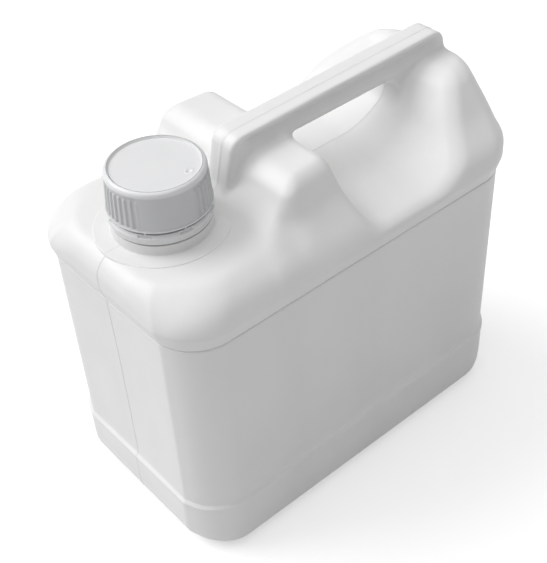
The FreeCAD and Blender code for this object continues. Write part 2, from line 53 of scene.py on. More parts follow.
bandLow, bandHigh = cadCorners("tamper_band")
linerLow, linerHigh = cadCorners("sealing_liner")
capLow, capHigh = cadCorners("screw_cap")
neckPlace = round((bandLow[0] + bandHigh[0]) / 2, 1)     # the axis that neck, band, liner and cap share


# shape helpers

def makeMesh(name, points, *tables):
    # points in millimetres, and tables of corner numbers each with its own count of corners, become one object
    corners = np.concatenate([table.ravel() for table in tables])
    sizes = np.concatenate([np.full(len(table), table.shape[1]) for table in tables])
    mesh = bpy.data.meshes.new(name)
    mesh.vertices.add(len(points))
    mesh.vertices.foreach_set("co", (points * 0.001).astype(np.float32).ravel())
    mesh.loops.add(len(corners))
    mesh.loops.foreach_set("vertex_index", corners.astype(np.int32))
    mesh.polygons.add(len(sizes))
    mesh.polygons.foreach_set("loop_start", (np.cumsum(sizes) - sizes).astype(np.int32))
    mesh.update(calc_edges=True)
    mesh.validate()
    mesh.shade_smooth()
    piece = bpy.data.objects.new(name, mesh)
    bpy.context.scene.collection.objects.link(piece)
    return piece


def gridFaces(rows, columns, joined=False):
    # faces between the rows of a grid whose last column joins its first; joined rows close into a ring too
    row = np.arange(rows if joined else rows - 1)[:, None]
    column = np.arange(columns)[None, :]
    above = (row + 1) % rows
    after = (column + 1) % columns
    corners = [row * columns + column, row * columns + after,
               above * columns + after, above * columns + column]
    return np.stack(corners, axis=-1).reshape(-1, 4)


def poleFaces(first, columns, pole, over):
    # triangles from one row of a grid to a single point, over or under it
    here = first + np.arange(columns)
    after = first + (np.arange(columns) + 1) % columns
    pair = [here, after] if over else [after, here]
    return np.stack(pair + [np.full(columns, pole)], axis=-1)


def roundedLine(corners, steps):
    # a line through corners (a, b, radius), each inner one replaced by an arc of its radius that touches both
    # sides: the arc's centre lies on the corner's bisector, radius over the sine of the half angle away
    spots = np.array([corner[:2] for corner in corners], float)
    line = [spots[0]]
    for before, spot, after, corner in zip(spots, spots[1:], spots[2:], corners[1:-1]):
        into = (before - spot) / np.hypot(*(before - spot))
        out = (after - spot) / np.hypot(*(after - spot))
        half = math.acos(np.clip(into @ out, -1, 1)) / 2
        middle = (into + out) / np.hypot(*(into + out))
        centre = spot + middle * corner[2] / math.sin(half)
        first = spot + into * corner[2] / math.tan(half) - centre
        last = spot + out * corner[2] / math.tan(half) - centre
        turn = math.atan2(first[0] * last[1] - first[1] * last[0], first @ last)
        angle = np.linspace(0, turn, steps)
        line.extend(centre + np.stack([first[0] * np.cos(angle) - first[1] * np.sin(angle),
                                       first[0] * np.sin(angle) + first[1] * np.cos(angle)], axis=-1))
    line.append(spots[-1])
    return np.array(line)


def evenly(line, longest):
    # the same line with extra points wherever a side is longer than the given length
    parts = []
    for a, b in zip(line, line[1:]):
        count = max(1, int(math.ceil(np.hypot(*(b - a)) / longest)))
        parts.append(a + (b - a) * np.linspace(0, 1, count, endpoint=False)[:, None])
    return np.concatenate(parts + [line[-1:]])


def ease(value, start, end):
    # nought before start, one after end, and a smooth rise between: share squared times (3 less twice share)
    share = np.clip((value - start) / (end - start), 0, 1)
    return share * share * (3 - 2 * share)


def upTo(value, limit, soft):
    # one under the limit and nought over it, with an eased fall that reaches soft to each side
    return ease(-value, -limit - soft, soft - limit)


def around(radius, angle, height, centre):
    # points at a radius and an angle about an upright axis: centre plus radius times cosine, radius times sine
    x = centre + radius * np.cos(angle)
    y = radius * np.sin(angle)
    return np.stack(np.broadcast_arrays(x, y, height), axis=-1)


def threadHeight(angle, height, start, pitch, turns, crest, root):
    # how far a screw ridge stands out, from nought to one: a flat crest and sloping flanks, by the distance
    # from the nearest turn of the helix, eased out at both ends
    turn = angle / (2 * math.pi)
    nearest = np.clip(np.round((height - start) / pitch - turn), 0, math.ceil(turns) - 1) + turn
    off = np.abs(height - start - pitch * nearest)
    runOut = 0.05     # of a turn
    ends = ease(nearest, 0, runOut) * ease(-nearest, -turns, runOut - turns)
    return np.clip((root - off) / (root - crest), 0, 1) * ends


# Fields are distances outside a solid, negative within it.

def edgeOut(a, b, radius):
    # what two solids share, with an outer edge of the given radius where they meet: the larger distance, and
    # near the edge the length of both taken together
    inner = np.minimum(np.maximum(a, b), -radius)
    return inner + np.hypot(np.maximum(a + radius, 0), np.maximum(b + radius, 0))


def edgeCreased(a, b, radius, crease):
    # edgeOut whose rounding starts from the second face with a straight facet, turned by the crease angle
    along = np.maximum(a + radius, 0)
    across = np.maximum(b + radius, 0)
    facet = np.maximum(across, across * math.cos(crease) + along * math.sin(crease))
    arc = np.where(along < across * math.tan(crease), facet, np.hypot(along, across))
    return np.minimum(np.maximum(a, b), -radius) + arc


def edgeIn(a, b, radius):
    # two solids joined, with a hollow of the given radius where they meet: the smaller distance, less near the
    # hollow the length of what both lack of the radius
    outer = np.maximum(np.minimum(a, b), radius)
    return outer - np.hypot(np.maximum(radius - a, 0), np.maximum(radius - b, 0))


def netOver(field, axes):
    # skin where the field is zero: one point in each grid cell that it crosses, at the mean of the crossings
    # on the cell's edges, and one face round each grid edge that it crosses
    value = field(*np.meshgrid(*axes, indexing="ij"))
    inside = value < 0
    cells = np.array(value.shape) - 1
    sums = np.zeros((cells.prod(), 3))
    counts = np.zeros(cells.prod())
    rings = []
    for axis in range(3):
        low = [slice(None)] * 3
        high = [slice(None)] * 3
        low[axis] = slice(None, -1)
        high[axis] = slice(1, None)
        low, high = tuple(low), tuple(high)
        spots = np.argwhere(inside[low] != inside[high])
        here = value[low][tuple(spots.T)]
        there = value[high][tuple(spots.T)]
        crossing = np.stack([axes[k][spots[:, k]] for k in range(3)], axis=-1)
        ahead = axes[axis][spots[:, axis] + 1]
        crossing[:, axis] += (ahead - crossing[:, axis]) * here / (here - there)
        u, v = (axis + 1) % 3, (axis + 2) % 3
        ring = []
        for du, dv in ((0, 0), (1, 0), (1, 1), (0, 1)):
            cell = spots.copy()
            cell[:, u] -= du
            cell[:, v] -= dv
            real = ((cell >= 0) & (cell < cells)).all(axis=1)
            number = np.where(real, (cell[:, 0] * cells[1] + cell[:, 1]) * cells[2] + cell[:, 2], -1)
            for k in range(3):
                sums[:, k] += np.bincount(number[real], crossing[real, k], len(sums))
            counts += np.bincount(number[real], minlength=len(counts))
            ring.append(number)
        ring = np.stack(ring, axis=-1)
        ring[here > 0] = ring[here > 0][:, ::-1]
        rings.append(ring[(ring >= 0).all(axis=1)])
    used = counts > 0
    order = np.cumsum(used) - 1
    points = sums[used] / counts[used, None]
    layer = np.nonzero(used)[0] % cells[2]     # each point's row of cells, counted from the lowest
    return points, order[np.concatenate(rings)], layer


def slideOnto(field, points, rounds=5, reach=0.6):
    # each point moves along the field's slope, by value over slope, until the field is zero there
    nudge = 0.02
    flattest = 0.05     # least slope squared that a step is divided by
    for _ in range(rounds):
        x, y, z = points.T
        value = field(x, y, z)
        slope = np.stack([field(x + nudge, y, z) - field(x - nudge, y, z),
                          field(x, y + nudge, z) - field(x, y - nudge, z),
                          field(x, y, z + nudge) - field(x, y, z - nudge)], axis=-1) / (2 * nudge)
        step = slope * (value / np.maximum((slope ** 2).sum(axis=1), flattest))[:, None]
        points = points - np.clip(step, -reach, reach)
    return points


def openRing(faces, count):
    # the numbers of the points along the one open edge of a mesh, in the order in which its faces pass them:
    # each round doubles the known stretch of the ring by jumping over its whole length
    sides = np.stack([faces, np.roll(faces, -1, axis=1)], axis=-1).reshape(-1, 2)
    alone = sides[~np.isin(sides[:, 0] * count + sides[:, 1], sides[:, 1] * count + sides[:, 0])]
    jump = np.zeros(count, int)
    jump[alone[:, 0]] = alone[:, 1]
    ring = alone[:1, 0]
    while len(ring) < len(alone):
        ring = np.concatenate([ring, jump[ring]])
        jump = jump[jump]
    return ring[:len(alone)]


# tank: a pair in brackets says where a change starts and where it ends

tank = {
    # outline at the panels, its corners and the turn of their facets, and the furthest reach along x
    "length": 227.6, "width": 128, "corner": 25.5, "crease": 21, "reach": 116.68,
    # base band: its face, a fine lip along the top of it, and a ledge that slopes back to the panels
    "bandTop": 37, "bandProud": 1.6, "bandSlope": 1.6, "bandLip": 0.3, "lipFoot": 2.1, "lipHead": 1.7,
    # base rounding under the sides and under the ends, and a hollow underside within a standing ring
    "baseRadius": 11, "endRadius": 17, "baseHollow": 2, "baseRing": (0.78, 0.88),
    # how far both ends lean in at the foot, and how far the panels draw in at their middles
    "taper": 1.2, "sideSink": 1.3, "endSink": 0.7, "sinkFoot": (0.5, 4),
    # groove round the top of the panels, and the shoulder that flares out over it
    "groove": 154, "grooveDepth": 0.6, "grooveUnder": 0.6, "grooveOver": 0.9,
    "shoulderFoot": 0.1, "shoulderProud": 2.7, "flare": 9.5,
    # long sides lean in with height, softly at first and more towards the rear, and their corners widen
    "leanFrom": 169, "lean": 0.93, "leanSoft": 8, "leanCorner": 31, "leanCornerRise": 30,
    # beside the lugs the near side is drawn in a long way and its corner tightens; the far side a little; the
    # corners by the deck widen
    "nearLean": 16, "rearNearLean": 10, "nearChange": (10, 90), "nearStart": (-56, -34),
    "farLean": 0.5, "farStart": (10, 70),
    "drawShare": 0.85, "drawHeights": (160, 187), "lastShare": 0.15, "lastHeights": (180, 200),
    "nearCornerLoss": 1.75, "nearCornerStart": (0, 60),
    "deckCorner": 8, "deckCornerHeights": (164, 182), "deckCornerPlace": (30, 70),
    # deck behind the neck, front slope and lug tops, which rise to the rear, more at the far rear corner
    "deck": 181, "slopeFoot": -41.9, "slopeCrest": -28.9, "slopeHollow": 12, "crest": 6.5,
    "lug": 201, "rise": 2.5, "riseRun": 163, "farRise": 2.5, "farRisePlace": (60, 92), "farRiseSide": (8, 24),
    # roundings where walls meet deck and lugs, changing a little under each height, and round the scoops
    "deckCrown": 11.5, "sideCrown": 20, "sideCrownPlace": (20, 50), "crownUnder": 4,
    "nearCrown": 5.5, "farCrown": 4, "crownHalf": 10, "scoopCrown": 6,
    # finger scoops: floor falling from a ridge, front end, rear end, and the rear end's skew on the far side
    "ridge": 175.3, "ridgeRound": 1.5, "fall": 9, "scoopHollow": 12, "scoopFront": 1, "scoopFrontFoot": 5,
    "scoopRearFoot": 62, "scoopRear": 87, "scoopSkew": 11, "scoopSteep": 6, "scoopFar": (8, 36),
    # bridge handle: its nose and tail each fall by a drop over a run, along a side of the length given
    "gripTop": 212.8, "gripUnder": 199.9, "gripWidth": 17, "gripEdge": 2.2, "gripCorner": 6,
    "gripNose": -37.9, "noseFoot": 2, "noseDrop": 20.8, "noseRun": 4.5, "noseSide": 21.3,
    "gripTail": 111, "tailDrop": 22, "tailRun": 8, "tailSide": 23.4, "tailOver": 1.5,
    "gripWaist": 2.4, "waistTop": (0.8, 5), "waistFoot": (5, 12), "waistNose": (7, 14), "waistTail": (2, 9),
    # hand hole, and the hollow where the handle stands on the tank, wider in the hand hole
    "holeFront": -4, "holeRear": 76, "holeCorner": 6, "holeEdge": 0.01, "toe": 5, "web": 2.5, "toeBlend": 6,
    # parting line of the mould, wider on the handle
    "seamHeight": 0.2, "seamEdge": (0.3, 0.65), "seamWider": 0.25, "seamRise": (182, 188), "seamFoot": (2, 8),
    # well inside the neck, room beyond the outline for the net, and the net's cell
    "well": 24.5, "wellFloor": 158, "margin": 1.5, "cell": 1.25,
}


def columnField(x, y, z):
    # upright tank walls: distance outside a rounded rectangle that stands proud over the groove, and whose long
    # sides lean in with height, more towards the rear; the near side leans in further beside the lugs
    t = tank
    proud = np.interp(z - t["groove"], [-t["grooveUnder"], 0, t["grooveOver"], t["flare"]],
                      [0, -t["grooveDepth"], t["shoulderFoot"], t["shoulderProud"]])
    over = np.clip(z - t["leanFrom"], 0, None)
    soft = t["leanSoft"]
    share = np.clip((x + t["length"] / 2) / t["length"], 0, 1)
    lean = t["lean"] * share * np.where(over < soft, over ** 2 / (2 * soft), over - soft / 2)
    slant = np.sqrt(1 + (t["lean"] * share * np.clip(over / soft, 0, 1)) ** 2)
    near = t["nearLean"] + (t["rearNearLean"] - t["nearLean"]) * ease(x, *t["nearChange"])
    draw = np.where(y < 0, near * ease(x, *t["nearStart"]), t["farLean"] * ease(x, *t["farStart"]))
    lastFrom, lastTo = t["lastHeights"]
    last = np.clip((z - lastFrom) / (lastTo - lastFrom), 0, 1)
    draw = draw * (t["drawShare"] * ease(z, *t["drawHeights"]) + t["lastShare"] * last)
    side = (np.abs(y) - t["width"] / 2 - proud + lean + draw) / slant
    end = np.abs(x) - t["length"] / 2 - proud
    widening = np.clip(over / t["leanCornerRise"], 0, 1)
    corner = t["corner"] + proud + (t["leanCorner"] - t["corner"] - t["shoulderProud"]) * widening
    corner = corner - t["nearCornerLoss"] * draw * (y < 0) * ease(x, *t["nearCornerStart"])
    corner = corner + t["deckCorner"] * ease(z, *t["deckCornerHeights"]) * ease(-x, *t["deckCornerPlace"])
    return edgeCreased(side, end, corner, math.radians(t["crease"]))


def crestField(x, z):
    # deck, front slope and lug tops as one line along the tank: distance above it
    t = tank
    run = t["slopeCrest"] - t["slopeFoot"]
    climb = t["lug"] - t["deck"]
    slope = ((z - t["deck"]) * run - (x - t["slopeFoot"]) * climb) / math.hypot(run, climb)
    tops = z - t["lug"] - (x - t["slopeCrest"]) * t["rise"] / t["riseRun"]
    return edgeIn(z - t["deck"], edgeOut(slope, tops, t["crest"]), t["slopeHollow"])


def scoopField(x, y, z):
    # the two finger scoops: a floor that falls away from the ridge on both sides, and two sloping ends, the
    # rear one further back and steeper on the far side
    t = tank
    fall = math.tan(math.radians(t["fall"]))
    height = z + (np.hypot(y, t["ridgeRound"]) - t["ridgeRound"]) * fall - t["ridge"]
    rise = t["lug"] - t["ridge"]
    front = t["scoopFrontFoot"] - t["scoopFront"]
    frontEnd = -((x - t["scoopFrontFoot"]) * rise + height * front) / math.hypot(rise, front)
    far = ease(y, *t["scoopFar"])
    foot = t["scoopRearFoot"] + t["scoopSkew"] * far
    rear = t["scoopRear"] - t["scoopRearFoot"] - t["scoopSteep"] * far
    rearEnd = ((x - foot) * rise - height * rear) / np.hypot(rise, rear)
    return edgeOut(edgeOut(-height, frontEnd, t["scoopHollow"]), rearEnd, t["scoopHollow"])


def gripField(x, y, z):
    # bridge handle: nose, top and tail lines with the hand hole taken out, kept to the grip's width
    t = tank
    overTop = z - t["gripTop"]
    nose = (-(x - t["gripNose"] - t["noseFoot"]) * t["noseDrop"] + overTop * t["noseRun"]) / t["noseSide"]
    top = overTop - (x - t["gripNose"]) * t["rise"] / (t["gripTail"] - t["gripNose"])
    tail = ((x - t["gripTail"]) * t["tailDrop"] + (overTop - t["rise"]) * t["tailRun"]) / t["tailSide"]
    loop = edgeOut(edgeOut(nose, top, t["gripCorner"]), tail, t["gripCorner"])
    loop = edgeOut(loop, x - t["length"] / 2 - t["tailOver"], t["gripCorner"])
    hole = edgeOut(t["holeFront"] - x, z - t["gripUnder"], t["holeCorner"])
    hole = edgeOut(hole, x - t["holeRear"], t["holeCorner"])
    # both sides are hollowed under the top edge, between the nose and the tail
    noseFrom, noseTo = t["waistNose"]
    tailFrom, tailTo = t["waistTail"]
    along = ease(x, t["gripNose"] + noseFrom, t["gripNose"] + noseTo)
    along = along * ease(-x, -t["gripTail"] + tailFrom, -t["gripTail"] + tailTo)
    waist = t["gripWaist"] * along * ease(-top, *t["waistTop"]) * (1 - ease(-top, *t["waistFoot"]))
    return edgeOut(edgeOut(loop, -hole, t["holeEdge"]), np.abs(y) - t["gripWidth"] / 2 + waist, t["gripEdge"])


def seamRidge(y, z):
    # the mould's parting line: one along a narrow flat ridge at the middle, nought beside it, wider on the grip
    return 1 - ease(np.abs(y) - tank["seamWider"] * ease(z, *tank["seamRise"]), *tank["seamEdge"])


def tankField(x, y, z):
    # walls, crest and scoops meet in the crown rounding; the grip joins them with a web, wider in the hand
    # hole; the parting line stands proud all round, and a well goes down inside the neck
    t = tank
    lugCrown = t["farCrown"] + (t["nearCrown"] - t["farCrown"]) * ease(-y, -t["crownHalf"], t["crownHalf"])
    deckCrown = t["deckCrown"] + (t["sideCrown"] - t["deckCrown"]) * ease(np.abs(y), *t["sideCrownPlace"])
    rise = ease(z, t["deck"] - t["crownUnder"], t["lug"] - t["crownUnder"])
    crown = deckCrown + (lugCrown - deckCrown) * rise
    lift = t["farRise"] * ease(x, *t["farRisePlace"]) * ease(y, *t["farRiseSide"])
    block = edgeOut(columnField(x, y, z), crestField(x, z - lift), crown)
    body = edgeOut(block, -scoopField(x, y, z), t["scoopCrown"])
    blend = t["toeBlend"]
    inHole = np.clip((x - t["holeFront"] + blend) / blend, 0, 1)
    inHole = inHole * np.clip((t["holeRear"] + blend - x) / blend, 0, 1)
    web = t["web"] + (t["toe"] - t["web"]) * inHole
    well = np.maximum(np.hypot(x - neckPlace, y) - t["well"], t["wellFloor"] - z)
    whole = np.maximum(edgeIn(body, gripField(x, y, z), web) - t["seamHeight"] * seamRidge(y, z), -well)
    return np.maximum(whole, np.abs(x) - t["reach"])


def roundingInset(height, radius):
    # how far a quarter-round foot of this radius lies inside the wall over it, at each height
    over = np.clip(height, 0, radius)
    return radius - np.sqrt(radius ** 2 - (radius - over) ** 2)


def lowerWalls(loop):
    # a side profile of (distance out from the panels, height) carried round the outline, a column under each
    # point of the shoulder's lowest ring, and drawn in to a small ring under the base
    t = tank
    low = loop[0, 2]
    face = t["bandProud"] - t["bandLip"]
    profile = roundedLine([
        (face - t["baseRadius"] - 0.1, 0, 0), (face, 0, t["baseRadius"]),
        (face, t["bandTop"] - t["lipFoot"], 0.3), (t["bandProud"], t["bandTop"] - t["lipHead"], 0.3),
        (t["bandProud"], t["bandTop"], 0.6), (0, t["bandTop"] + t["bandSlope"], 1.0), (0, low, 0)], 6)
    profile = evenly(profile, 5)[:-1]
    corner = t["corner"]
    coreX = t["length"] / 2 - corner
    coreY = t["width"] / 2 - corner
    centreX = np.clip(loop[:, 0], -coreX, coreX)
    centreY = np.clip(loop[:, 1], -coreY, coreY)
    angle = np.arctan2(loop[:, 1] - centreY, loop[:, 0] - centreX)
    # the corner starts from the end with a straight facet, as in the walls over it
    turn = np.arccos(np.abs(np.cos(angle)))
    crease = math.radians(t["crease"])
    stretch = np.where(turn < crease, 1 / np.maximum(np.cos(turn), np.cos(turn - crease)), 1)
    out = (profile[:, :1] + corner) * stretch
    height = profile[:, 1:]
    # panels draw in towards their middles, at once over the band and slowly under the groove
    foot = t["bandTop"] + t["bandSlope"]
    sinkFrom, sinkTo = t["sinkFoot"]
    upright = np.clip(1 - ((height * 2 - low - foot) / (low - foot)) ** 2, 0, 1) ** 1.5
    atFoot = ease(height, t["bandTop"] + sinkFrom, t["bandTop"] + sinkTo) * (height < (low + foot) / 2)
    upright = np.maximum(upright, atFoot)
    sink = t["sideSink"] * np.sin(angle) ** 4 * (1 - (centreX / coreX) ** 2)
    sink = sink + t["endSink"] * np.cos(angle) ** 4 * (1 - (centreY / coreY) ** 2)
    # the base rounding is wider on the two ends
    narrow = roundingInset(height, t["baseRadius"])
    wide = roundingInset(height, t["endRadius"])
    out = out - upright * sink - np.maximum(wide - narrow, 0) * np.cos(angle) ** 2
    onEnd = np.abs(loop[:, 0]) > coreX
    out = out + t["seamHeight"] * seamRidge(loop[:, 1], height) * onEnd * ease(height, *t["seamFoot"])
    centreX = centreX * (1 - t["taper"] / coreX * (1 - height / low))
    x = centreX + out * np.cos(angle)
    y = centreY + out * np.sin(angle)
    walls = np.stack(np.broadcast_arrays(x, y, height), axis=-1)
    shares = np.array([0.1, 0.35, 0.6, 0.76, 0.8, 0.83, 0.86, 0.9, 0.97])[:, None, None]
    under = walls[:1] * shares
    under[..., 2] = t["baseHollow"] * (1 - ease(shares[..., 0], *t["baseRing"]))
    return np.concatenate([under, walls])


def makeTank():
    # the shoulder, deck, lugs and grip come from the field, the walls under them hang from its lowest ring
    t = tank
    half = t["length"] / 2 + t["shoulderProud"] + t["margin"]
    wide = t["width"] / 2 + t["shoulderProud"] + t["margin"]
    groove = t["groove"]
    # the net's rows are finer at the groove, and its columns are finer at the parting line
    fine = groove + np.array([-2.0, -1.1, -0.6, -0.3, -0.1, 0.1, 0.35, 0.65, 1.0, 1.6])
    heights = np.concatenate([fine, np.arange(groove + 2.4, t["gripTop"] + t["rise"] + 2, t["cell"])])
    seam = np.array([0.2, 0.5, 0.8, 1.3])
    beside = np.linspace(2.2, wide, int((wide - 2.2) / t["cell"]))
    across = np.concatenate([-beside[::-1], -seam[::-1], seam, beside])
    points, faces, layer = netOver(tankField, [np.arange(-half, half + t["cell"], t["cell"]), across, heights])
    foot = groove - 1.55     # in the middle of the lowest row
    points[layer == 0, 2] = foot
    points = slideOnto(tankField, points)
    points[layer == 0, 2] = foot
    ring = openRing(faces, len(points))
    walls = lowerWalls(points[ring])
    rows, columns = walls.shape[:2]
    start = len(points)
    pole = start + rows * columns
    last = np.arange(columns) + start + (rows - 1) * columns
    join = np.stack([last, np.roll(last, -1), np.roll(ring, -1), ring], axis=-1)
    points = np.concatenate([points, walls.reshape(-1, 3), [[0, 0, t["baseHollow"]]]])
    piece = makeMesh("jugShell", points, faces, gridFaces(rows, columns) + start, join,
                     poleFaces(start, columns, pole, False))
    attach(piece, "tank")
    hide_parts("jug_body")
    print("tank shell:", len(piece.data.polygons), "faces")


# neck, a part of the tank

neck = {
    "radius": 21.2, "bore": 18.8, "lip": linerLow[2],
    "boss": 34, "bossTop": 181.4, "collar": 25.5, "collarTop": 186.9, "foot": 179.4, "hollow": 23.8,
    "bead": 22.9, "beadUnder": 191.2,
    "threadStart": 199.5, "pitch": 4, "turns": 2.25, "threadDepth": 1.3, "threadCrest": 0.5, "threadRoot": 0.95,
    "columns": 320,
}


def makeNeck():
    # one closed profile of (radius, height, rounding), up the outside and down the bore, turned about the
    # neck's axis, with the thread raised on its upper rows
    n = neck
    collar = n["collar"]
    outside = roundedLine([
        (n["boss"] + 0.6, n["foot"], 0), (n["boss"], n["bossTop"], 0.5), (collar + 0.4, n["bossTop"], 0.1),
        (collar, n["bossTop"] + 0.5, 0.3), (collar - 0.1, n["collarTop"], 0.4),
        (n["radius"], n["collarTop"], 0.3), (n["radius"], n["beadUnder"], 0.2),
        (n["bead"], n["beadUnder"], 0.2), (n["bead"], n["beadUnder"] + 0.8, 0.3),
        (n["radius"], n["beadUnder"] + 2.4, 0.8), (n["radius"], n["lip"], 0.6), (n["bore"], n["lip"], 0.4),
        (n["bore"], n["collarTop"] - 1.5, 0.8), (n["hollow"], n["collarTop"] - 3, 0.8),
        (n["hollow"], n["foot"] - 0.8, 0)], 5)
    profile = evenly(outside, 0.4)
    angle = np.linspace(0, 2 * math.pi, n["columns"], endpoint=False)[None, :]
    radius = profile[:, :1]
    height = profile[:, 1:]
    onWall = (np.abs(radius - n["radius"]) < 0.02) & (height > n["beadUnder"] + 3)
    ridge = threadHeight(angle, height, n["threadStart"], n["pitch"], n["turns"],
                         n["threadCrest"], n["threadRoot"])
    points = around(radius + n["threadDepth"] * ridge * onWall, angle, height, neckPlace)
    piece = makeMesh("neckFinish", points.reshape(-1, 3), gridFaces(*points.shape[:2], joined=True))
    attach(piece, "tank")
    print("neck:", len(piece.data.polygons), "faces")


# screw cap

cap = {
    "turn": -80.5, "bore": 22.9, "under": linerHigh[2], "disc": 215.5, "discRadius": 21.6, "top": capHigh[2],
    "upper": 24.7, "lower": 25.8, "edge": 26.1, "bottom": capLow[2], "rimRound": 2.2,
    "groups": 3, "ribs": 8, "spacing": 7.5, "ribWidth": 3.4, "ribProud": 0.15, "ribSoft": 0.35, "ribTop": 211.9,
    "sunk": 0.6, "windowFoot": 196.7, "windowTop": 213.4, "windowSoft": 0.4,
    "dimpleAngle": -61, "dimplePlace": 17.5, "dimpleSize": 1.45, "dimpleRim": 0.22, "dimpleDepth": 0.45,
    "threadStart": 201.5, "turns": 2,
    "skirtRows": (198, 211, 1.3), "ceilingRings": (0.8, 6, 12, 18, 22.2), "boreRows": 52, "columns": 560,
}


def ribbedSkirt(angle, height):
    # change of the skirt's radius: ribs stand in windows that are sunk between plain fields
    c = cap
    group = 360 / c["groups"]
    within = (np.degrees(angle) - c["turn"]) % group
    span = c["spacing"] * (c["ribs"] - 1)
    window = ease(within, -c["windowSoft"], c["windowSoft"]) * upTo(within, span, c["windowSoft"])
    offRib = np.abs((within + c["spacing"] / 2) % c["spacing"] - c["spacing"] / 2)
    rib = upTo(offRib, c["ribWidth"] / 2, c["ribSoft"]) * (within < span + c["spacing"] / 2)
    rib = np.maximum(rib, upTo(np.abs(within - group), c["ribWidth"] / 2, c["ribSoft"]))
    sunk = window * ease(height, c["windowFoot"] - 0.2, c["windowFoot"] + 0.25)
    sunk = sunk * ease(-height, -c["windowTop"] - 0.3, 0.2 - c["windowTop"])
    ribbed = rib * ease(height, c["windowFoot"] - 0.5, c["windowFoot"] + 0.2)
    ribbed = ribbed * ease(-height, -c["ribTop"] - 0.3, 0.9 - c["ribTop"])
    raised = (c["sunk"] + c["ribProud"]) * ribbed - c["sunk"]
    return np.maximum(-c["sunk"] * sunk, raised) * np.maximum(sunk, ribbed)


def makeCap():
    # one profile turned about the neck's axis: out along the underside, down the bore, up the skirt, over the
    # rim and in along the disc, closed by a point at each end
    c = cap
    skirt = np.concatenate([np.arange(c["windowFoot"] - 0.5, c["windowFoot"] + 0.8, 0.25),
                            np.arange(*c["skirtRows"]),
                            np.arange(c["ribTop"] - 0.9, c["windowTop"] + 0.7, 0.22)])
    skirtRadius = np.interp(skirt, [c["bottom"], c["windowTop"]], [c["lower"], c["upper"]])
    foot = roundedLine([(c["bore"], c["bottom"], 0), (c["edge"], c["bottom"], 0.25),
                        (c["edge"], skirt[0] - 0.1, 0.2), (skirtRadius[0], skirt[0], 0)], 4)
    wall = np.stack([skirtRadius, skirt], axis=-1)[1:]
    rim = roundedLine([(c["upper"], skirt[-1] + 0.2, 0), (c["upper"] - 0.05, c["top"], c["rimRound"]),
                       (c["discRadius"] + 0.9, c["top"], 0.4), (c["discRadius"] + 0.1, c["disc"], 0.25),
                       (c["discRadius"] - 0.7, c["disc"], 0)], 8)
    # the disc's rows are finer across the dimple
    inward = np.concatenate([np.arange(c["discRadius"] - 1.2, c["dimplePlace"] + 2.2, -0.9),
                             np.arange(c["dimplePlace"] + 2.2, c["dimplePlace"] - 2.3, -0.22),
                             np.arange(c["dimplePlace"] - 2.6, 0.4, -1.6)])
    disc = np.stack([inward, np.full(len(inward), c["disc"])], axis=-1)
    ceiling = [(ring, c["under"]) for ring in c["ceilingRings"]]
    down = np.linspace(c["under"] - 0.4, c["bottom"] + 0.3, c["boreRows"])
    bore = np.stack([np.full(len(down), c["bore"]), down], axis=-1)
    profile = np.concatenate([ceiling, bore, foot, wall, rim, disc])
    angle = np.linspace(0, 2 * math.pi, c["columns"], endpoint=False)[None, :]
    radius = profile[:, :1] + 0 * angle
    height = profile[:, 1:] + 0 * angle
    onSkirt = (profile[:, :1] > c["upper"] - 0.01) & (height > skirt[0] - 0.01) & (height < skirt[-1] + 0.01)
    radius = radius + onSkirt * ribbedSkirt(angle, height)
    # the thread stands in from the bore, midway between the turns of the neck's thread
    inBore = np.abs(profile[:, :1] - c["bore"]) < 0.01
    inBore = inBore & (height < c["under"] - 0.3) & (height > c["bottom"] + 0.2)
    local = (angle - math.radians(c["turn"])) % (2 * math.pi)
    start = c["threadStart"] + neck["pitch"] * c["turn"] / 360
    ridge = threadHeight(local, height, start, neck["pitch"], c["turns"],
                         neck["threadCrest"], neck["threadRoot"])
    radius = radius - inBore * neck["threadDepth"] * ridge
    points = around(radius, angle, height, neckPlace)
    # gate dimple: a small crater in the disc, a raised ring round a dip
    spot = around(c["dimplePlace"], math.radians(c["dimpleAngle"]), c["disc"], neckPlace)
    off = np.hypot(points[..., 0] - spot[0], points[..., 1] - spot[1]) / c["dimpleSize"]
    onTop = (height > c["disc"] - 0.1) & (profile[:, :1] < c["discRadius"])
    crater = c["dimpleRim"] * np.exp(-((off - 1.15) / 0.4) ** 2) - c["dimpleDepth"] * np.exp(-(off / 0.7) ** 2)
    points[..., 2] += onTop * crater
    rows, columns = points.shape[:2]
    ends = [[neckPlace, 0, c["under"]], [neckPlace, 0, c["disc"]]]
    allPoints = np.concatenate([points.reshape(-1, 3), ends])
    start = poleFaces(0, columns, rows * columns, False)
    last = poleFaces((rows - 1) * columns, columns, rows * columns + 1, True)
    piece = makeMesh("capShell", allPoints, gridFaces(rows, columns), np.concatenate([start, last]))
    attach(piece, "cap")
    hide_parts("screw_cap")
    print("cap:", len(piece.data.polygons), "faces")


# tamper band

band = {
    "inside": 24.1, "shoulder": 25.0, "outside": 25.5, "bevel": 26.2, "lip": 22.1,
    "bottom": bandLow[2], "bevelFoot": 191.8, "top": 193.4, "lipTop": 190.7,
    "notches": 8, "notchWidth": 15, "notchAt": -97.6, "bridgeWidth": 2.0, "bridgeHeight": 1.2, "soft": 0.3,
    "columns": 720,
}


